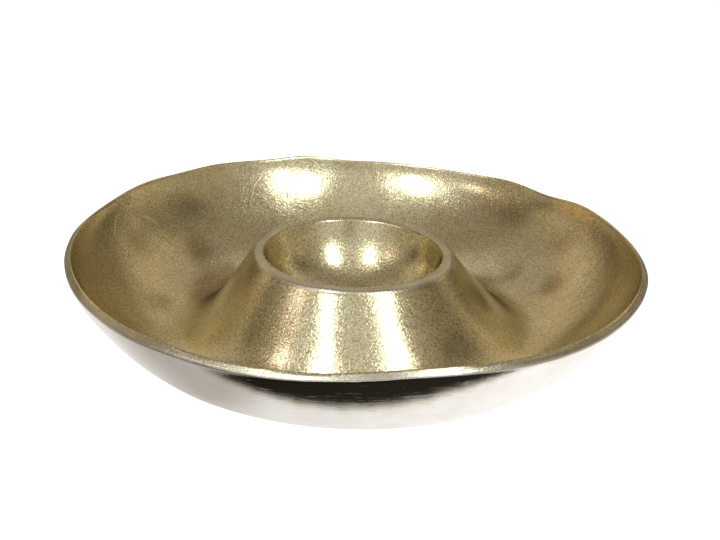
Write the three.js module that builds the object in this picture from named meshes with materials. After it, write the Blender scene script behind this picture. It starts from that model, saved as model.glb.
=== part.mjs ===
// Chip and dip server: a round cast metal bowl with a dip cup standing up in its middle.
// The bowl, the trough, the cone and the cup are one casting of nearly even wall, folded like a letter M
// when it is cut through the middle. Four thin pads under the foot keep the metal off the table.
// Millimetres, +Z up. The origin is on the table, under the middle of the bowl.
import * as THREE from 'three';
import * as BufferGeometryUtils from 'three/addons/utils/BufferGeometryUtils.js';

// Driving dimensions
const WALL = 4.5;
const RIM_RADIUS = 190;
const RIM_HEIGHT = 63.5;
const RIM_LAND_WIDTH = 4.4;
const RIM_LAND_DROP = 4.1;
const RING_INNER_RADIUS = 59.3;
const RING_OUTER_RADIUS = 65.4;
const RING_HEIGHT = 62;
const RING_TILT = THREE.MathUtils.degToRad(1.2);
const CUP_FLOOR = 17;
const CUP_OFFSET = -2.5;
const TROUGH_RADIUS = 119;
const FOOT_INNER_RADIUS = 107;
const FOOT_OUTER_RADIUS = 123;
const PAD_COUNT = 4;
const PAD_RADIUS = 7;
const PAD_THICKNESS = 1.5;
const PAD_GAP = 0.3;
const EDGE = 0.8;
const CASTING_SEGMENTS = 84;
const PAD_SEGMENTS = 32;
const CURVE_STEPS = 9;

// Surfaces
const CAST_METAL = { color: 0xb7a66f, roughness: 0.3, metalness: 1 };
const DARK_FELT = { color: 0x2b2a28, roughness: 0.9, metalness: 0 };

// Derived heights and radii
const FOOT = PAD_THICKNESS + PAD_GAP;
const FOOT_MIDDLE_RADIUS = (FOOT_INNER_RADIUS + FOOT_OUTER_RADIUS) / 2;
const TROUGH_FLOOR = FOOT + WALL;
const RIM_TOP = RIM_HEIGHT + RIM_LAND_DROP / 2;
const RIM_INNER_RADIUS = RIM_RADIUS - RIM_LAND_WIDTH;
const CUP_UNDERSIDE = CUP_FLOOR - WALL;
const FOLD_HEIGHT = RING_HEIGHT - 3 * WALL;

// The curves of half a section, each as its start, two control points and its end: [radius, height].
const CUP_UNDERSIDE_CURVE = [[0, CUP_UNDERSIDE], [34, CUP_UNDERSIDE], [44, 26], [60.5, FOLD_HEIGHT]];
const HOLLOW_CURVE = [[62.5, FOLD_HEIGHT], [81, 39], [99, FOOT], [FOOT_INNER_RADIUS, FOOT]];
const OUTSIDE_CURVE = [
  [FOOT_OUTER_RADIUS, FOOT],
  [150, FOOT],
  [185, 44],
  [RIM_RADIUS, RIM_TOP - RIM_LAND_DROP - EDGE],
];
const TROUGH_CURVE = [
  [RIM_INNER_RADIUS, RIM_TOP - EDGE],
  [181, 45],
  [147, TROUGH_FLOOR],
  [TROUGH_RADIUS, TROUGH_FLOOR],
];
const CONE_CURVE = [
  [TROUGH_RADIUS, TROUGH_FLOOR],
  [103, TROUGH_FLOOR],
  [85, 36],
  [RING_OUTER_RADIUS, RING_HEIGHT - EDGE],
];
const CUP_CURVE = [[RING_INNER_RADIUS, RING_HEIGHT - EDGE], [53, 42], [40, CUP_FLOOR], [0, CUP_FLOOR]];

// The rim was shaped by hand, so its height wanders. Each wave: where it is round the rim in
// degrees, how far it lifts the rim, and how many degrees it spreads to each side.
const RIM_WAVES = [
  { at: 8, lift: -2.8, spread: 14 },
  { at: 41, lift: -4.3, spread: 6 },
  { at: 64, lift: -3.2, spread: 9 },
  { at: 84, lift: -2.4, spread: 9 },
  { at: 93, lift: -1.2, spread: 3 },
  { at: 103, lift: 1.6, spread: 4 },
  { at: 110, lift: -0.6, spread: 5 },
  { at: 126, lift: 0.9, spread: 4 },
  { at: 150, lift: 5.9, spread: 34 },
  { at: 162, lift: -1.0, spread: 6 },
  { at: 198, lift: 2.0, spread: 22 },
  { at: 237, lift: 0.7, spread: 6 },
  { at: 282, lift: 3.4, spread: 12 },
  { at: 318, lift: -1.2, spread: 12 },
];
// A narrow wave fades a short way down the wall, and a wide one reaches down to where the wall turns up.
const WAVE_REACH_LEAST = 8;
const WAVE_REACH_PER_DEGREE = 3;
const WAVE_REACH_MOST = 60;

function bezier(points) {
  const [start, leave, arrive, end] = points.map(([radius, height]) => new THREE.Vector2(radius, height));
  return new THREE.CubicBezierCurve(start, leave, arrive, end).getPoints(CURVE_STEPS);
}

// Half of the section: from the axis under the cup, through the hollow and over the foot to the rim,
// then back over the trough, the cone and the ring to the middle of the cup's floor.
function castingSection() {
  const rimLand = [
    new THREE.Vector2(RIM_RADIUS - EDGE / 2, RIM_TOP - RIM_LAND_DROP + EDGE / 2),
    new THREE.Vector2(RIM_INNER_RADIUS + EDGE, RIM_TOP),
  ];
  const ringLand = [
    new THREE.Vector2(RING_OUTER_RADIUS - EDGE, RING_HEIGHT),
    new THREE.Vector2(RING_INNER_RADIUS + EDGE, RING_HEIGHT),
  ];
  return [
    ...bezier(CUP_UNDERSIDE_CURVE),
    ...bezier(HOLLOW_CURVE),
    ...bezier(OUTSIDE_CURVE),
    ...rimLand,
    ...bezier(TROUGH_CURVE),
    ...bezier(CONE_CURVE).slice(1),
    ...ringLand,
    ...bezier(CUP_CURVE),
  ];
}

// Shortest way round from one angle to the other, in degrees.
function angleBetween(a, b) {
  const turn = Math.abs(a - b) % 360;
  return Math.min(turn, 360 - turn);
}

// How far the waves lift a point of the wall, from its angle in degrees and its radius.
function waveLift(angle, radius) {
  let lift = 0;
  for (const wave of RIM_WAVES) {
    const away = angleBetween(angle, wave.at) / wave.spread;
    const reach = Math.min(WAVE_REACH_LEAST + WAVE_REACH_PER_DEGREE * wave.spread, WAVE_REACH_MOST);
    const share = THREE.MathUtils.smoothstep(radius, RIM_RADIUS - reach, RIM_RADIUS);
    lift += share * wave.lift * Math.exp(-away * away / 2);
  }
  return lift;
}

// Moves each point of the plain turned shape to where hand work and casting left it: the rim rises and
// falls, and the cup stands a little off the middle with its ring tilted.
function shapeByHand(geometry) {
  const position = geometry.getAttribute('position');
  const point = new THREE.Vector3();
  for (let i = 0; i < position.count; i += 1) {
    point.fromBufferAttribute(position, i);
    const radius = Math.hypot(point.x, point.y);
    const angle = THREE.MathUtils.radToDeg(Math.atan2(point.y, point.x));
    const cupShare = 1 - THREE.MathUtils.smoothstep(radius, RING_OUTER_RADIUS, FOOT_INNER_RADIUS);
    const heightShare = THREE.MathUtils.smoothstep(point.z, TROUGH_FLOOR, RING_HEIGHT);
    point.z += waveLift(angle, radius) - cupShare * heightShare * point.x * Math.tan(RING_TILT);
    point.x += cupShare * CUP_OFFSET;
    position.setXYZ(i, point.x, point.y, point.z);
  }
}

// A closed body turned about +Z from half a section that starts and ends on the axis.
function turned(section, segments) {
  const lathe = new THREE.LatheGeometry(section, segments);
  lathe.deleteAttribute('normal');
  lathe.deleteAttribute('uv');
  return BufferGeometryUtils.mergeVertices(lathe.rotateX(Math.PI / 2), 1e-4);
}

function mesh(name, geometry, surface) {
  geometry.computeVertexNormals();
  const part = new THREE.Mesh(geometry, new THREE.MeshStandardMaterial(surface));
  part.name = name;
  return part;
}

function serverCasting() {
  const geometry = turned(castingSection(), CASTING_SEGMENTS);
  shapeByHand(geometry);
  return mesh('server_casting', geometry, CAST_METAL);
}

// A thin disc with a softened lower edge, stuck to the flat foot ring.
function footPad(index) {
  const chamfer = PAD_THICKNESS / 4;
  const section = [
    new THREE.Vector2(0, 0),
    new THREE.Vector2(PAD_RADIUS - chamfer, 0),
    new THREE.Vector2(PAD_RADIUS, chamfer),
    new THREE.Vector2(PAD_RADIUS, PAD_THICKNESS),
    new THREE.Vector2(0, PAD_THICKNESS),
  ];
  const pad = mesh(`foot_pad_${index + 1}`, turned(section, PAD_SEGMENTS), DARK_FELT);
  const angle = (index + 0.5) * 2 * Math.PI / PAD_COUNT;
  pad.position.set(FOOT_MIDDLE_RADIUS * Math.cos(angle), FOOT_MIDDLE_RADIUS * Math.sin(angle), 0);
  return pad;
}

const server = new THREE.Group();
server.add(serverCasting());
for (let index = 0; index < PAD_COUNT; index += 1) {
  server.add(footPad(index));
}

export default server;
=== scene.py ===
"""Looks for the chip and dip server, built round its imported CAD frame.

The bowl, trough, cone and dip cup are one casting: champagne gold and wrinkled inside, ground flat on
the rim and on the cup's ring, and polished silver outside. Metres throughout.
"""

from math import cos, degrees, exp, hypot, pi, radians, sin, tan

import bpy
import numpy as np
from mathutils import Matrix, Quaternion, Vector, noise


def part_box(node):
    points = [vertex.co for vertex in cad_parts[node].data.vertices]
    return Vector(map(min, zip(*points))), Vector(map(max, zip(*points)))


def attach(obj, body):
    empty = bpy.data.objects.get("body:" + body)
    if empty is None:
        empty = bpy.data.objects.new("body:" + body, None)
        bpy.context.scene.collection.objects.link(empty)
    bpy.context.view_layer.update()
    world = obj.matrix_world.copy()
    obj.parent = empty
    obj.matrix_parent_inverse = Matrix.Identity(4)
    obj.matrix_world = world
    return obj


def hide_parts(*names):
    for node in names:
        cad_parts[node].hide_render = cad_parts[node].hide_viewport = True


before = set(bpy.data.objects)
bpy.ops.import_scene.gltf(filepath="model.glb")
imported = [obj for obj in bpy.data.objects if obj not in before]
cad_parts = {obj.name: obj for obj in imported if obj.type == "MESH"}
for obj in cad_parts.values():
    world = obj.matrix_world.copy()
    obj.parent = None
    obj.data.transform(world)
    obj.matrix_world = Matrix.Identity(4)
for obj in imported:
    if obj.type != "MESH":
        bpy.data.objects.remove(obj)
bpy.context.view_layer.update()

# ---------------------------------------------------------------- driving sizes

MM = 0.001
CASTING_LOW, CASTING_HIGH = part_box("server_casting")

RIM_RADIUS = (CASTING_HIGH.x - CASTING_LOW.x) / 2
RIM_HEIGHT = 63.5 * MM
RIM_LAND_WIDTH = 4.4 * MM
RIM_LAND_DROP = 4.1 * MM
RING_INNER_RADIUS = 59.3 * MM
RING_OUTER_RADIUS = 65.4 * MM
RING_HEIGHT = 62 * MM
RING_TILT = radians(1.2)
WALL = 4.5 * MM
FOOT = CASTING_LOW.z
FOOT_INNER_RADIUS = 107 * MM
FOOT_OUTER_RADIUS = 123 * MM
TROUGH_RADIUS = 119 * MM
TROUGH_FLOOR = FOOT + WALL
CUP_FLOOR = 17 * MM
CUP_OFFSET = -2.5 * MM
LIP = 1.4 * MM
RING_ROUND = 2.2 * MM

# A narrow wave of the rim fades a short way down the wall; a wide one reaches where the wall turns up.
WAVE_REACH_LEAST = 8 * MM
WAVE_REACH_PER_DEGREE = 3 * MM
WAVE_REACH_MOST = 60 * MM

# Each wave of the hand-shaped rim: where it is in degrees, its lift and how far it spreads in degrees.
RIM_WAVES = [
    (8, -2.8 * MM, 14),
    (41, -4.3 * MM, 6),
    (64, -3.2 * MM, 9),
    (84, -2.4 * MM, 9),
    (93, -1.2 * MM, 3),
    (103, 1.6 * MM, 4),
    (110, -0.6 * MM, 5),
    (126, 0.9 * MM, 4),
    (150, 5.9 * MM, 34),
    (162, -1.0 * MM, 6),
    (198, 2.0 * MM, 22),
    (237, 0.7 * MM, 6),
    (282, 3.4 * MM, 12),
    (318, -1.2 * MM, 12),
]

# Shallow dents left inside by hand, in millimetres: the middle of each, its depth and how far it
# spreads. A negative depth is a raised spot.
DENTS_IN_MM = [
    # the left wall and the trough under it
    ((-153, 66, 37), 0.8, 9),
    ((-116, 95, 20), 0.9, 10),
    ((-136, 26, 12), 0.7, 8),
    ((-129, 120, 50), 0.45, 11),
    ((-149, 98, 56), -0.7, 15),
    # the right wall and the trough under it
    ((113, 84, 13), 0.7, 8),
    ((140, 52, 18), 0.8, 9),
    ((150, 83, 38), 0.6, 9),
    ((118, 128, 45), 0.8, 13),
    # the trough in front, to the right and to the left
    ((92, -43, 16), -0.7, 14),
    ((-98, -40, 11), -0.7, 14),
    # round the foot of the cone, where their amber colour is also painted shade
    ((-103, 62, 8), 1.2, 10),
    ((-98, 73, 8), 0.9, 9),
    ((-110, 46, 8), 0.6, 9),
    ((-91, 85, 8), 1.2, 9),
    ((90, 84, 8), 0.7, 9),
    ((95, 60, 8), 0.6, 9),
    ((102, 38, 8), 0.4, 9),
    ((83, -14, 34), 1.0, 10),
    # the back wall
    ((98, 150, 50), 0.35, 14),
    ((-24, 173, 46), 0.4, 12),
    # inside the cup
    ((48, 28, 53), 0.6, 9),
    ((-46, 32, 49), 0.3, 9),
    # down the front of the left wall, then of the right wall
    ((-172, -12, 46), 0.3, 12),
    ((-162, -24, 34), 0.4, 13),
    ((-149, -36, 23), 0.4, 13),
    ((160, -14, 28), 0.3, 12),
    ((145, -14, 16), 0.3, 12),
    ((122, -30, 8), 0.3, 12),
]
DENTS = [(Vector(middle) * MM, depth * MM, spread * MM) for middle, depth, spread in DENTS_IN_MM]

SEGMENTS = 480
FINE_STEP = 0.2 * MM
EDGE_SOFTNESS = 0.9 * MM
LAND_SPACING = 0.6 * MM
SPACING_GROWTH = 0.3
INSIDE, LAND, OUTSIDE = range(3)

CAMERA_ELEVATION = radians(21.92)
CAMERA_DISTANCE = 4.6793 * RIM_RADIUS
CAMERA_AIM_DOWN = radians(0.905)
CAMERA_AIM_LEFT = radians(-0.15)
CAMERA_ROLL = radians(1.08)
LENS = 67.15
SENSOR = 36


# ---------------------------------------------------------------- the casting's section

def bezier(a, b, c, d, steps=400):
    """Points on a cubic curve, closely spaced."""
    t = np.linspace(0, 1, steps)[:, None]
    a, b, c, d = (np.array(p, float) for p in (a, b, c, d))
    return (1 - t) ** 3 * a + 3 * (1 - t) ** 2 * t * b + 3 * (1 - t) * t**2 * c + t**3 * d


def line(a, b, steps=60):
    return np.linspace(a, b, steps)


def casting_section():
    """Stretches of half the section as (points, spacing, zone), from under the cup round to its floor."""
    rim_top = RIM_HEIGHT + RIM_LAND_DROP / 2
    fold = RING_HEIGHT - 3 * WALL
    cup_underside = CUP_FLOOR - WALL
    rim_outer = np.array((RIM_RADIUS, rim_top - RIM_LAND_DROP))
    rim_inner = np.array((RIM_RADIUS - RIM_LAND_WIDTH, rim_top))
    rim_lip = rim_inner + (rim_outer - rim_inner) * LIP / RIM_LAND_WIDTH
    ring_outer = (RING_OUTER_RADIUS, RING_HEIGHT)
    ring_inner = (RING_INNER_RADIUS, RING_HEIGHT)
    ring_lip = (RING_INNER_RADIUS + LIP / 2, RING_HEIGHT)
    under_cup = bezier((0, cup_underside), (34 * MM, cup_underside), (44 * MM, 26 * MM), (60.5 * MM, fold))
    hollow = bezier((62.5 * MM, fold), (81 * MM, 39 * MM), (99 * MM, FOOT), (FOOT_INNER_RADIUS, FOOT))
    foot = line((FOOT_INNER_RADIUS, FOOT), (FOOT_OUTER_RADIUS, FOOT))
    outside = bezier((FOOT_OUTER_RADIUS, FOOT), (150 * MM, FOOT), (185 * MM, 44 * MM), rim_outer)
    trough = bezier(rim_inner, (181 * MM, 45 * MM), (147 * MM, TROUGH_FLOOR), (TROUGH_RADIUS, TROUGH_FLOOR))
    cone = bezier((TROUGH_RADIUS, TROUGH_FLOOR), (103 * MM, TROUGH_FLOOR), (85 * MM, 36 * MM), ring_outer)
    cone = cone[cone[:, 1] < RING_HEIGHT - RING_ROUND]
    ring_start = (RING_OUTER_RADIUS - RING_ROUND, RING_HEIGHT)
    ring_round = bezier(cone[-1], ring_outer, ring_outer, ring_start)
    cup = bezier(ring_inner, (53 * MM, 42 * MM), (40 * MM, CUP_FLOOR), (0, CUP_FLOOR))
    return [
        (under_cup, 4.5 * MM, OUTSIDE),
        (hollow, 4.5 * MM, OUTSIDE),
        (foot, 4.5 * MM, OUTSIDE),
        (outside, 2.6 * MM, OUTSIDE),
        (line(rim_outer, rim_lip), LAND_SPACING, LAND),
        (line(rim_lip, rim_inner), LAND_SPACING, INSIDE),
        (trough, 2.3 * MM, INSIDE),
        (cone, 2.1 * MM, INSIDE),
        (ring_round, LAND_SPACING, LAND),
        (line(ring_start, ring_lip), LAND_SPACING, LAND),
        (line(ring_lip, ring_inner), LAND_SPACING, INSIDE),
        (cup, 2.3 * MM, INSIDE),
    ]


def softened(rz):
    """The section with its corners rounded, by a running average that is mirrored at the axis."""
    reach = int(3 * EDGE_SOFTNESS / FINE_STEP)
    weights = np.exp(-0.5 * (np.arange(-reach, reach + 1) * FINE_STEP / EDGE_SOFTNESS) ** 2)
    start = rz[reach:0:-1] * [-1, 1]
    end = rz[-2:-reach - 2:-1] * [-1, 1]
    padded = np.concatenate([start, rz, end])
    return np.stack([np.convolve(padded[:, i], weights / weights.sum(), "valid") for i in range(2)], 1)


def even_points(stretches):
    """The whole section with soft corners: points close together near the ground edges, and their zones."""
    points = np.concatenate([s[0] for s in stretches])
    spacing = np.concatenate([np.full(len(s[0]), s[1]) for s in stretches])
    zone = np.concatenate([np.full(len(s[0]), s[2]) for s in stretches])
    along = np.concatenate([[0], np.cumsum(np.hypot(*np.diff(points, axis=0).T))])
    keep = np.concatenate([[True], np.diff(along) > 0])
    along, points, spacing, zone = along[keep], points[keep], spacing[keep], zone[keep]
    steps = np.arange(0, along[-1], FINE_STEP)
    rz = np.stack([np.interp(steps, along, points[:, i]) for i in range(2)], 1)
    spacing = np.interp(steps, along, spacing)
    zone = zone[np.searchsorted(along, steps).clip(0, len(zone) - 1)]
    from_land = np.abs(steps[:, None] - steps[zone == LAND][None]).min(axis=1)
    spacing = np.minimum(spacing, LAND_SPACING + SPACING_GROWTH * from_land)
    count = np.cumsum(FINE_STEP / spacing)
    picked = np.searchsorted(count, np.arange(count[0], count[-1], 1.0))
    rz, zone = softened(rz)[picked], zone[picked]
    rz[0, 0] = 0
    rz[-1, 0] = 0
    return rz, zone


# ---------------------------------------------------------------- hand work and casting marks

def smooth_share(value, low, high):
    t = min(max((value - low) / (high - low), 0), 1)
    return t * t * (3 - 2 * t)


def angle_between(a, b):
    turn = abs(a - b) % 360
    return min(turn, 360 - turn)


def wave_lift(angle, radius):
    """How far the rim's waves lift a point of the wall."""
    lift = 0
    for at, height, spread in RIM_WAVES:
        reach = min(WAVE_REACH_LEAST + WAVE_REACH_PER_DEGREE * spread, WAVE_REACH_MOST)
        share = smooth_share(radius, RIM_RADIUS - reach, RIM_RADIUS)
        lift += share * height * exp(-((angle_between(angle, at) / spread) ** 2) / 2)
    return lift


def shape_by_hand(point, angle):
    """The rim rises and falls, and the cup stands a little off the middle with its ring tilted."""
    radius = hypot(point.x, point.y)
    cup_share = 1 - smooth_share(radius, RING_OUTER_RADIUS, FOOT_INNER_RADIUS)
    height_share = smooth_share(point.z, TROUGH_FLOOR, RING_HEIGHT)
    if radius > RIM_RADIUS - WAVE_REACH_MOST:
        point.z += wave_lift(angle, radius)
    point.z -= cup_share * height_share * point.x * tan(RING_TILT)
    point.x += cup_share * CUP_OFFSET
    return point


def lumps(point, size, seed):
    """Soft unevenness of a surface, from about -1 to 1, with bumps about size apart."""
    return noise.noise(point / size + Vector((seed, seed * 1.7, seed * 2.3)))


def dent_depth(point):
    """How far the dents sink the surface of the inside at a point."""
    sunk = 0
    for middle, depth, spread in DENTS:
        sunk += depth * exp(-(((point - middle).length / spread) ** 2) / 2)
    return sunk


def surface_offset(point, zone, dented):
    """How far the surface stands off its smooth shape, in metres."""
    if zone == INSIDE:
        return 0.4 * MM * lumps(point, 55 * MM, 8) + 0.1 * MM * lumps(point, 22 * MM, 3) - dented
    if zone == LAND:
        return 0.25 * MM * lumps(point, 22 * MM, 5)
    low = smooth_share(point.z, FOOT + 1 * MM, FOOT + 8 * MM)
    return low * (0.2 * MM * lumps(point, 38 * MM, 12) + 0.04 * MM * lumps(point, 12 * MM, 15))


def section_normals(rz):
    along = np.gradient(rz, axis=0)
    normal = np.stack([along[:, 1], -along[:, 0]], 1)
    return normal / np.linalg.norm(normal, axis=1)[:, None]


def casting_points(rz, zone):
    """The casting's points, turn by turn, then the two on the axis, with how dented each of them is."""
    normals = section_normals(rz)
    last = len(rz) - 1
    points = []
    dents = []
    for turn in range(SEGMENTS):
        angle = 2 * pi * turn / SEGMENTS
        for i in range(1, last):
            flat = Vector((rz[i, 0] * cos(angle), rz[i, 0] * sin(angle), rz[i, 1]))
            normal = Vector((normals[i, 0] * cos(angle), normals[i, 0] * sin(angle), normals[i, 1]))
            dents.append(dent_depth(flat))
            offset = surface_offset(flat, zone[i], dents[-1])
            points.append(shape_by_hand(flat + normal * offset, degrees(angle)))
    for i in (0, last):
        dents.append(0.0)
        points.append(shape_by_hand(Vector((0, 0, rz[i, 1])), 0))
    return points, dents


def casting_faces(zone):
    rows = len(zone) - 2
    under = SEGMENTS * rows
    faces = []
    zones = []
    for turn in range(SEGMENTS):
        here = turn * rows
        there = (turn + 1) % SEGMENTS * rows
        faces.append((under, there, here))
        zones.append(OUTSIDE)
        for i in range(rows - 1):
            faces.append((here + i, there + i, there + i + 1, here + i + 1))
            zones.append(int(zone[i + 1]))
        faces.append((here + rows - 1, there + rows - 1, under + 1))
        zones.append(INSIDE)
    return faces, zones


def casting_mesh():
    rz, zone = even_points(casting_section())
    points, dents = casting_points(rz, zone)
    faces, zones = casting_faces(zone)
    mesh = bpy.data.meshes.new("finished_casting")
    mesh.from_pydata([tuple(p) for p in points], [], faces)
    mesh.polygons.foreach_set("material_index", zones)
    mesh.polygons.foreach_set("use_smooth", [True] * len(faces))
    mesh.attributes.new("dent", "FLOAT", "POINT").data.foreach_set("value", dents)
    mesh.update()
    return mesh


# ---------------------------------------------------------------- shader helpers

class Nodes:
    """A short way to write a node tree: add(kind, settings, inputs) makes a node and feeds its sockets."""

    def __init__(self, tree):
        self.tree = tree
        tree.nodes.clear()

    def add(self, kind, settings=None, **inputs):
        node = self.tree.nodes.new(kind)
        for name, value in (settings or {}).items():
            setattr(node, name, value)
        for name, value in inputs.items():
            self.feed(node, name, value)
        return node

    def feed(self, node, name, value):
        """Sets or links a socket, named in words with _ for spaces, or _0, _1 and so on by its place."""
        numbered = name[0] == "_" and name[1:].isdigit()
        socket = node.inputs[int(name[1:]) if numbered else name.replace("_", " ")]
        if isinstance(value, bpy.types.NodeSocket):
            self.tree.links.new(value, socket)
        else:
            socket.default_value = value

    def math(self, operation, a, b=0.0, clamp=False):
        settings = {"operation": operation, "use_clamp": clamp}
        return self.add("ShaderNodeMath", settings, _0=a, _1=b).outputs[0]

    def times(self, a, b):
        return self.math("MULTIPLY", a, b)

    def plus(self, a, b):
        return self.math("ADD", a, b)

    def other(self, share):
        """One less the share."""
        return self.math("SUBTRACT", 1.0, share, clamp=True)

    def ramp(self, value, low, high, out_low=0.0, out_high=1.0):
        """value from low to high becomes out_low to out_high, smoothly and clamped."""
        settings = {"interpolation_type": "SMOOTHSTEP"}
        inputs = {"_0": value, "_1": low, "_2": high, "_3": out_low, "_4": out_high}
        return self.add("ShaderNodeMapRange", settings, **inputs).outputs[0]

    def mix_color(self, share, a, b):
        settings = {"data_type": "RGBA"}
        return self.add("ShaderNodeMix", settings, _0=share, _6=a, _7=b).outputs[2]

    def noise(self, vector, scale, detail=2.0, roughness=0.5, distortion=0.0):
        inputs = {"Vector": vector, "Scale": scale, "Detail": detail, "Roughness": roughness}
        return self.add("ShaderNodeTexNoise", None, Distortion=distortion, **inputs).outputs[0]

    def creases(self, vector, scale, detail=2.0):
        """Worm-like creases: 0 along each crease, up to 1 between them."""
        swing = self.math("SUBTRACT", self.noise(vector, scale, detail), 0.5)
        return self.math("MULTIPLY", self.math("ABSOLUTE", swing), 4.0, clamp=True)

    def distance(self, vector, point):
        settings = {"operation": "DISTANCE"}
        return self.add("ShaderNodeVectorMath", settings, _0=vector, _1=point).outputs["Value"]

    def dot(self, vector, way):
        settings = {"operation": "DOT_PRODUCT"}
        return self.add("ShaderNodeVectorMath", settings, _0=vector, _1=way).outputs["Value"]

    def bump(self, height, distance, strength=1.0, normal=None):
        inputs = {"Height": height, "Distance": distance, "Strength": strength}
        if normal is not None:
            inputs["Normal"] = normal
        return self.add("ShaderNodeBump", None, **inputs).outputs[0]


def rgb(red, green, blue):
    return (red, green, blue, 1)


def new_material(name):
    material = bpy.data.materials.new(name)
    material.use_nodes = True
    nodes = Nodes(material.node_tree)
    shader = nodes.add("ShaderNodeBsdfPrincipled")
    output = nodes.add("ShaderNodeOutputMaterial")
    nodes.tree.links.new(shader.outputs[0], output.inputs[0])
    place = nodes.add("ShaderNodeTexCoord").outputs["Object"]
    return material, nodes, shader, place


# ---------------------------------------------------------------- materials

# Thin marks left by the flow of the metal and by handling: each is a stretch of a circle, given as the
# circle's middle, its radius, the point that the mark is centred on, its length and its width.
FLOW_MARKS = [
    ((-190 * MM, 78 * MM, 20 * MM), 47 * MM, (-168 * MM, 50 * MM, 50 * MM), 46 * MM, 0.5 * MM),
    ((-120 * MM, 30 * MM, 60 * MM), 66 * MM, (-155 * MM, 82 * MM, 50 * MM), 70 * MM, 0.5 * MM),
    ((-20 * MM, 130 * MM, 50 * MM), 66 * MM, (-81 * MM, 153 * MM, 46 * MM), 36 * MM, 0.6 * MM),
    ((-85 * MM, 150 * MM, 45 * MM), 32 * MM, (-57 * MM, 164 * MM, 45 * MM), 16 * MM, 0.6 * MM),
    ((150 * MM, 70 * MM, 45 * MM), 36 * MM, (169 * MM, 40 * MM, 42 * MM), 40 * MM, 0.5 * MM),
]


# How much of a noise passes in one radian round the bowl. Less makes longer marks.
ROUND_STRETCH = 6 * MM


def flow_marks(nodes, place, waver):
    """1 along each flow mark and 0 away from it. The marks waver with the noise that is given."""
    marks = 0.0
    for middle, radius, centre, length, width in FLOW_MARKS:
        off_line = nodes.math("SUBTRACT", nodes.distance(place, middle), radius)
        off_line = nodes.plus(off_line, nodes.times(nodes.math("SUBTRACT", waver, 0.5), 7 * MM))
        on_line = nodes.ramp(nodes.math("ABSOLUTE", off_line), 0.0, width, 1.0, 0.0)
        near = nodes.ramp(nodes.distance(place, centre), length * 0.3, length / 2, 1.0, 0.0)
        marks = nodes.plus(marks, nodes.times(on_line, near))
    return marks


def champagne_cast():
    """The sand-cast inside: gold, wrinkled like leather, amber in its dents, with a few flow marks, and
    painted shade and highlight in its colour.
    """
    material, nodes, shader, place = new_material("champagne_cast")
    dented = nodes.add("ShaderNodeAttribute", {"attribute_name": "dent"}).outputs["Fac"]
    wrinkle = nodes.noise(place, 780, detail=2, roughness=0.6, distortion=0.6)
    crease = nodes.creases(place, 500)
    patch = nodes.noise(place, 24, detail=2, roughness=0.55)
    blotch = nodes.noise(place, 75, detail=3, roughness=0.6)
    calm = nodes.ramp(nodes.noise(place, 32, detail=1), 0.38, 0.62, 0.6, 1.0)
    height = nodes.times(nodes.plus(wrinkle, nodes.times(crease, 0.2)), calm)
    marks = flow_marks(nodes, place, nodes.noise(place, 60, detail=1))
    skin = nodes.bump(height, 0.15 * MM)
    skin = nodes.bump(nodes.math("SUBTRACT", 0.0, marks), 0.12 * MM, 1.0, skin)
    gold = nodes.mix_color(nodes.ramp(patch, 0.35, 0.65), rgb(0.82, 0.755, 0.48), rgb(0.78, 0.695, 0.41))
    gold = nodes.mix_color(nodes.ramp(blotch, 0.48, 0.64, 0.0, 0.35), gold, rgb(0.62, 0.52, 0.29))
    # Amber in the dents: partly patina, partly painted shade, as the deepest dents are round the cone's
    # foot.
    dent_patina_and_shade = nodes.ramp(dented, 0.05 * MM, 1.0 * MM, 0.0, 1.0)
    color = nodes.mix_color(dent_patina_and_shade, gold, rgb(0.38, 0.28, 0.13))
    # Painted highlight: raised spots are drawn in a lighter gold.
    raised_spot_highlight = nodes.ramp(dented, -0.5 * MM, -0.1 * MM, 0.8, 0.0)
    color = nodes.mix_color(raised_spot_highlight, color, rgb(0.92, 0.80, 0.46))
    # Painted highlight on the wrinkles' crests, and painted shade in their hollows and along the creases.
    high = nodes.ramp(wrinkle, 0.52, 0.66, 0.0, 0.5)
    color = nodes.mix_color(high, color, rgb(0.97, 0.93, 0.72))
    low = nodes.ramp(wrinkle, 0.35, 0.50, 0.7, 0.0)
    color = nodes.mix_color(low, color, rgb(0.42, 0.34, 0.19))
    color = nodes.mix_color(nodes.ramp(crease, 0.0, 0.2, 0.4, 0.0), color, rgb(0.34, 0.28, 0.16))
    color = nodes.mix_color(nodes.times(marks, 0.4), color, rgb(0.34, 0.27, 0.15))
    nodes.feed(shader, "Base_Color", color)
    nodes.feed(shader, "Metallic", 1.0)
    nodes.feed(shader, "Roughness", nodes.ramp(patch, 0.3, 0.7, 0.12, 0.17))
    nodes.feed(shader, "Normal", skin)
    return material


def ground_land():
    """The ground edges of the rim and ring: warm grey, satin, with short grinding marks."""
    material, nodes, shader, place = new_material("ground_land")
    wide = nodes.noise(place, 70, detail=3, roughness=0.6)
    marks = nodes.noise(place, 900, detail=3, roughness=0.7)
    color = nodes.mix_color(nodes.ramp(wide, 0.3, 0.7), rgb(0.72, 0.69, 0.54), rgb(0.60, 0.56, 0.42))
    nodes.feed(shader, "Base_Color", color)
    nodes.feed(shader, "Metallic", 1.0)
    nodes.feed(shader, "Roughness", nodes.ramp(marks, 0.3, 0.7, 0.18, 0.30))
    nodes.feed(shader, "Normal", nodes.bump(marks, 0.12 * MM))
    return material


def stretched_round(nodes, place):
    """Coordinates in which a noise is drawn out into marks that run round the bowl."""
    x, y, z = nodes.add("ShaderNodeSeparateXYZ", None, Vector=place).outputs
    along = nodes.times(nodes.math("ARCTAN2", y, x), ROUND_STRETCH)
    return nodes.add("ShaderNodeCombineXYZ", None, X=along, Z=z).outputs[0]


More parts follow.
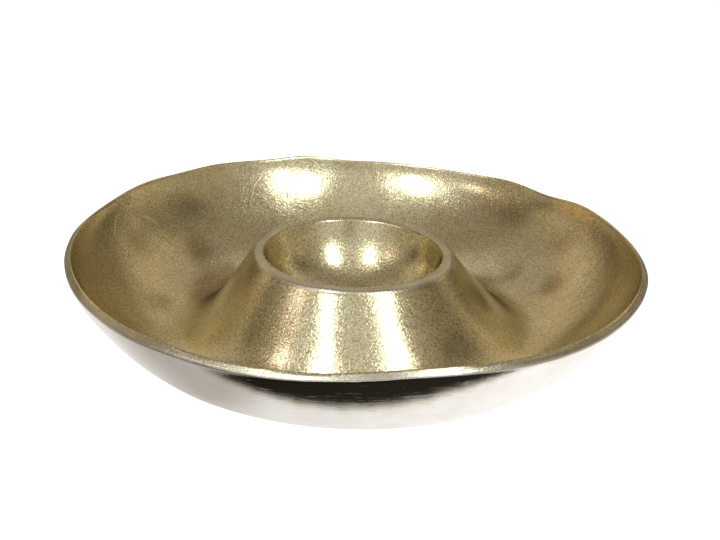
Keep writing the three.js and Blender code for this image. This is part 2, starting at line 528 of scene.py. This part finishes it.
def polished_outside():
    """The polished outside: pale silver, with fine marks from the wheel running round the bowl."""
    material, nodes, shader, place = new_material("polished_outside")
    rolled = stretched_round(nodes, place)
    marks = nodes.noise(rolled, 1500, detail=3, roughness=0.65)
    pits = nodes.noise(place, 800, detail=2, roughness=0.6)
    wide = nodes.noise(place, 45, detail=3)
    scratches = nodes.ramp(nodes.noise(rolled, 900, detail=4, roughness=0.7), 0.57, 0.66)
    height = nodes.plus(nodes.times(marks, 0.5), nodes.times(pits, 0.5))
    height = nodes.plus(height, nodes.times(scratches, 0.15))
    color = nodes.mix_color(nodes.ramp(wide, 0.3, 0.7), rgb(0.89, 0.86, 0.82), rgb(0.82, 0.78, 0.72))
    nodes.feed(shader, "Base_Color", color)
    nodes.feed(shader, "Metallic", 1.0)
    rough = nodes.plus(nodes.ramp(marks, 0.3, 0.7, 0.08, 0.14), nodes.times(scratches, 0.18))
    nodes.feed(shader, "Roughness", rough)
    nodes.feed(shader, "Normal", nodes.bump(height, 0.12 * MM))
    return material


def dark_felt():
    """The pads under the foot: pressed dark felt with loose fibres."""
    material, nodes, shader, place = new_material("dark_felt")
    fibres = nodes.noise(place, 2600, detail=4, roughness=0.7, distortion=1.2)
    color = nodes.mix_color(nodes.ramp(fibres, 0.3, 0.7), rgb(0.035, 0.032, 0.030), rgb(0.10, 0.093, 0.085))
    nodes.feed(shader, "Base_Color", color)
    nodes.feed(shader, "Roughness", nodes.ramp(fibres, 0.3, 0.7, 0.85, 1.0))
    nodes.feed(shader, "Sheen_Weight", 0.3)
    nodes.feed(shader, "Normal", nodes.bump(fibres, 0.3 * MM))
    return material


# ---------------------------------------------------------------- pieces

def add_object(name, mesh):
    thing = bpy.data.objects.new(name, mesh)
    bpy.context.scene.collection.objects.link(thing)
    return thing


def make_casting():
    casting = add_object("finished_casting", casting_mesh())
    for material in (champagne_cast(), ground_land(), polished_outside()):
        casting.data.materials.append(material)
    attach(casting, "root")
    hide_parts("server_casting")


def felt_pad_section(radius):
    """Half a pad's outline from near the axis below, round the soft lower edge and up to the foot."""
    edge = 0.45 * MM
    section = [(radius * k / 8, 0.0) for k in range(1, 8)]
    for k in range(7):
        turn = pi / 2 * k / 6
        section.append((radius - edge + edge * sin(turn), edge - edge * cos(turn)))
    section.append((radius, FOOT * 0.6))
    section.append((radius - 0.1 * MM, FOOT))
    return section


def felt_pad_mesh(name, low, high, segments=96):
    """A disc from the floor to the foot, with a rounded lower edge that is a little uneven."""
    middle = Vector(((low.x + high.x) / 2, (low.y + high.y) / 2, 0))
    radius = (high.x - low.x) / 2
    section = felt_pad_section(radius)
    verts = []
    for turn in range(segments):
        angle = 2 * pi * turn / segments
        way = Vector((cos(angle), sin(angle), 0))
        for r, z in section:
            up = Vector((0, 0, z))
            edge_share = (r / radius) ** 4
            fuzz = 0.12 * MM * lumps(middle + way * radius + up, 2 * MM, 4) * edge_share
            verts.append(middle + way * (r + fuzz) + up)
    rows = len(section)
    faces = []
    for turn in range(segments):
        here = turn * rows
        there = (turn + 1) % segments * rows
        for i in range(rows - 1):
            faces.append((here + i, there + i, there + i + 1, here + i + 1))
    faces.append([turn * rows for turn in reversed(range(segments))])
    faces.append([turn * rows + rows - 1 for turn in range(segments)])
    mesh = bpy.data.meshes.new(name)
    mesh.from_pydata([tuple(v) for v in verts], [], faces)
    mesh.polygons.foreach_set("use_smooth", [True] * len(faces))
    mesh.update()
    return mesh


def make_pads():
    felt = dark_felt()
    for node in sorted(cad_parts):
        if not node.startswith("foot_pad_"):
            continue
        name = node.replace("foot_pad", "felt_pad")
        pad = add_object(name, felt_pad_mesh(name, *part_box(node)))
        pad.data.materials.append(felt)
        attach(pad, "root")
        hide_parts(node)


# ---------------------------------------------------------------- studio

def direction(azimuth, elevation):
    """The way to a thing in the studio. Azimuth 0 is straight in front, and positive is to the right."""
    flat = cos(elevation)
    return Vector((sin(azimuth) * flat, -cos(azimuth) * flat, sin(elevation)))


def sheet(name, low, high, height):
    mesh = bpy.data.meshes.new(name)
    corners = [(low[0], low[1]), (high[0], low[1]), (high[0], high[1]), (low[0], high[1])]
    mesh.from_pydata([(x, y, height) for x, y in corners], [], [(0, 1, 2, 3)])
    thing = add_object(name, mesh)
    return thing


def make_floor():
    """The white floor that the eye sees."""
    floor = sheet("floor", (-6, -6), (6, 6), 0.0)
    material, nodes, shader, place = new_material("white_floor")
    paper = nodes.noise(place, 8, detail=2)
    tone = nodes.mix_color(paper, rgb(0.86, 0.86, 0.86), rgb(0.84, 0.84, 0.84))
    nodes.feed(shader, "Base_Color", tone)
    nodes.feed(shader, "Roughness", 1.0)
    nodes.feed(shader, "Specular_IOR_Level", 0.0)
    nodes.feed(shader, "Emission_Color", rgb(1, 1, 1))
    nodes.feed(shader, "Emission_Strength", 0.75)
    floor.data.materials.append(material)
    floor.visible_glossy = False


def make_reflected_table():
    """The table as the metal sees it, a glowing sheet that stands in for the lit table in reflections: dim
    far off, in painted shade brown at the left, and dark where it ends in front.
    """
    table = sheet("reflected_table", (-1.5, -1.5), (1.5, 1.5), -0.5 * MM)
    material = bpy.data.materials.new("reflected_table")
    material.use_nodes = True
    nodes = Nodes(material.node_tree)
    place = nodes.add("ShaderNodeTexCoord").outputs["Object"]
    across, depth, _ = nodes.add("ShaderNodeSeparateXYZ", None, Vector=place).outputs
    uneven = nodes.math("SUBTRACT", nodes.noise(place, 90, detail=4, roughness=0.6), 0.5)
    ragged = nodes.times(uneven, 10 * MM)
    in_front = nodes.ramp(nodes.plus(depth, ragged), -0.175, -0.163, 1.0, 0.0)
    from_middle = nodes.math("ABSOLUTE", nodes.math("SUBTRACT", across, 14 * MM))
    gap = nodes.times(in_front, nodes.ramp(nodes.plus(from_middle, ragged), 0.108, 0.150, 1.0, 0.0))
    on_left = nodes.ramp(across, -0.10, -0.04, 1.0, 0.0)
    shade = nodes.times(on_left, nodes.ramp(depth, -0.14, -0.03, 0.45, 0.0))
    lit = nodes.times(nodes.other(nodes.times(gap, 0.98)), nodes.other(shade))
    lit = nodes.times(lit, nodes.ramp(across, -0.05, 0.12, 0.9, 1.12))
    from_bowl = nodes.distance(place, (0, 0, 0))
    lit = nodes.times(lit, nodes.ramp(from_bowl, 0.215, 0.31, 1.0, 0.35))
    lit = nodes.times(lit, nodes.ramp(depth, 0.21, 0.28, 1.0, 0.25))
    tone = nodes.mix_color(shade, rgb(1.0, 0.99, 0.97), rgb(1.0, 0.88, 0.76))
    tone = nodes.mix_color(gap, tone, rgb(1.0, 0.88, 0.60))
    glow = nodes.add("ShaderNodeEmission", None, Color=tone, Strength=lit)
    output = nodes.add("ShaderNodeOutputMaterial")
    nodes.tree.links.new(glow.outputs[0], output.inputs[0])
    table.data.materials.append(material)
    table.visible_camera = False
    table.visible_shadow = False
    table.visible_diffuse = False


LAMP_DISTANCE = 1.3
LAMP_WHITE = (0.90, 0.94, 1.0)
LAMP_PINK = (0.99, 0.85, 0.92)


def softbox(name, way, size, radiance, lean, color):
    """A soft lamp aimed at the cup. Its top leans to the left by the angle given."""
    light = bpy.data.lights.new(name, "AREA")
    light.shape = "RECTANGLE"
    light.size, light.size_y = size
    light.energy = radiance * pi * size[0] * size[1]
    light.color = color
    lamp = add_object(name, light)
    lamp.location = Vector((0, 0, RIM_HEIGHT)) + way * LAMP_DISTANCE
    lamp.rotation_mode = "QUATERNION"
    lamp.rotation_quaternion = way.to_track_quat("Z", "Y") @ Quaternion((0, 0, 1), lean)


def make_lamps():
    """Two tall soft lamps that lean outward, and a low pink one at the far left."""
    right = direction(radians(41), radians(47))
    left = direction(radians(-31), radians(50))
    far_left = direction(radians(-63), radians(37))
    softbox("lamp_right", right, (0.14, 0.50), 11.0, radians(-12), LAMP_WHITE)
    softbox("lamp_left", left, (0.12, 0.54), 11.0, radians(24), LAMP_WHITE)
    softbox("lamp_warm", far_left, (0.24, 0.09), 4.6, radians(20), LAMP_PINK)


# Things in the room: the way to each, how wide it is and how wide its soft edge reaches, and its colour.
DARK = rgb(0.12, 0.105, 0.075)
THINGS = [
    (direction(radians(92), radians(36)), radians(3), radians(9), DARK),
    (direction(radians(105), radians(27)), radians(4), radians(11), DARK),
    (direction(radians(-93), radians(22)), radians(4), radians(11), DARK),
    (direction(radians(-110), radians(9)), radians(3), radians(10), rgb(0.54, 0.35, 0.18)),
]

# The dark shape of someone standing behind the camera, a little to the right.
PHOTOGRAPHER = direction(radians(7), radians(24))


def make_world():
    """A white tent in front, a warm room behind with a lit strip high up, and white for the eye."""
    world = bpy.data.worlds.new("tent")
    bpy.context.scene.world = world
    world.use_nodes = True
    nodes = Nodes(world.node_tree)
    way = nodes.add("ShaderNodeTexCoord").outputs["Generated"]
    _, depth, rise = nodes.add("ShaderNodeSeparateXYZ", None, Vector=way).outputs
    walls = nodes.mix_color(nodes.ramp(depth, 0.0, 0.6), rgb(0.41, 0.35, 0.26), rgb(0.60, 0.50, 0.37))
    low = nodes.times(nodes.ramp(rise, 0.18, 0.44, 1.0, 0.0), nodes.ramp(rise, 0.02, 0.08))
    walls = nodes.mix_color(nodes.times(low, nodes.ramp(depth, 0.2, 0.5)), walls, rgb(0.17, 0.13, 0.08))
    room = nodes.mix_color(nodes.ramp(rise, 0.40, 0.80), walls, rgb(0.31, 0.27, 0.22))
    strip = nodes.times(nodes.ramp(rise, 0.70, 0.78), nodes.ramp(rise, 0.86, 0.90, 1.0, 0.0))
    room = nodes.mix_color(nodes.times(strip, nodes.ramp(depth, 0.2, 0.45)), room, rgb(0.58, 0.53, 0.50))
    reach = nodes.math("SUBTRACT", depth, nodes.times(rise, 0.5))
    color = nodes.mix_color(nodes.ramp(reach, -0.97, -0.50, 1.0, 0.0), room, rgb(0.66, 0.645, 0.63))
    for way_to_thing, inner, outer, paint in THINGS:
        share = nodes.ramp(nodes.dot(way, way_to_thing), cos(outer), cos(inner))
        color = nodes.mix_color(nodes.times(share, 0.95), color, paint)
    gloom = nodes.ramp(nodes.dot(way, PHOTOGRAPHER), 0.992, 0.997)
    color = nodes.mix_color(nodes.times(gloom, 0.8), color, rgb(0.10, 0.08, 0.05))
    color = nodes.mix_color(nodes.ramp(rise, -0.06, -0.02, 1.0, 0.0), color, rgb(0.02, 0.02, 0.02))
    tent = nodes.add("ShaderNodeBackground", None, Color=color, Strength=1.0)
    white = nodes.add("ShaderNodeBackground", None, Color=rgb(1, 1, 1), Strength=1.0)
    seen = nodes.add("ShaderNodeLightPath").outputs["Is Camera Ray"]
    mix = nodes.add("ShaderNodeMixShader", None, _0=seen, _1=tent.outputs[0], _2=white.outputs[0])
    output = nodes.add("ShaderNodeOutputWorld")
    nodes.tree.links.new(mix.outputs[0], output.inputs[0])


def make_camera():
    data = bpy.data.cameras.new("camera")
    data.lens = LENS
    data.sensor_width = SENSOR
    data.clip_start = 0.01
    camera = add_object("camera", data)
    camera.location = Vector((0, 0, RIM_HEIGHT)) + direction(0, CAMERA_ELEVATION) * CAMERA_DISTANCE
    aim = Quaternion((0, 0, 1), CAMERA_AIM_LEFT)
    tilt = Quaternion((1, 0, 0), pi / 2 - CAMERA_ELEVATION - CAMERA_AIM_DOWN)
    camera.rotation_mode = "QUATERNION"
    camera.rotation_quaternion = aim @ tilt @ Quaternion((0, 0, 1), CAMERA_ROLL)
    bpy.context.scene.camera = camera


make_casting()
make_pads()
make_floor()
make_reflected_table()
make_lamps()
make_world()
make_camera()
bpy.context.scene.view_settings.view_transform = "Standard"
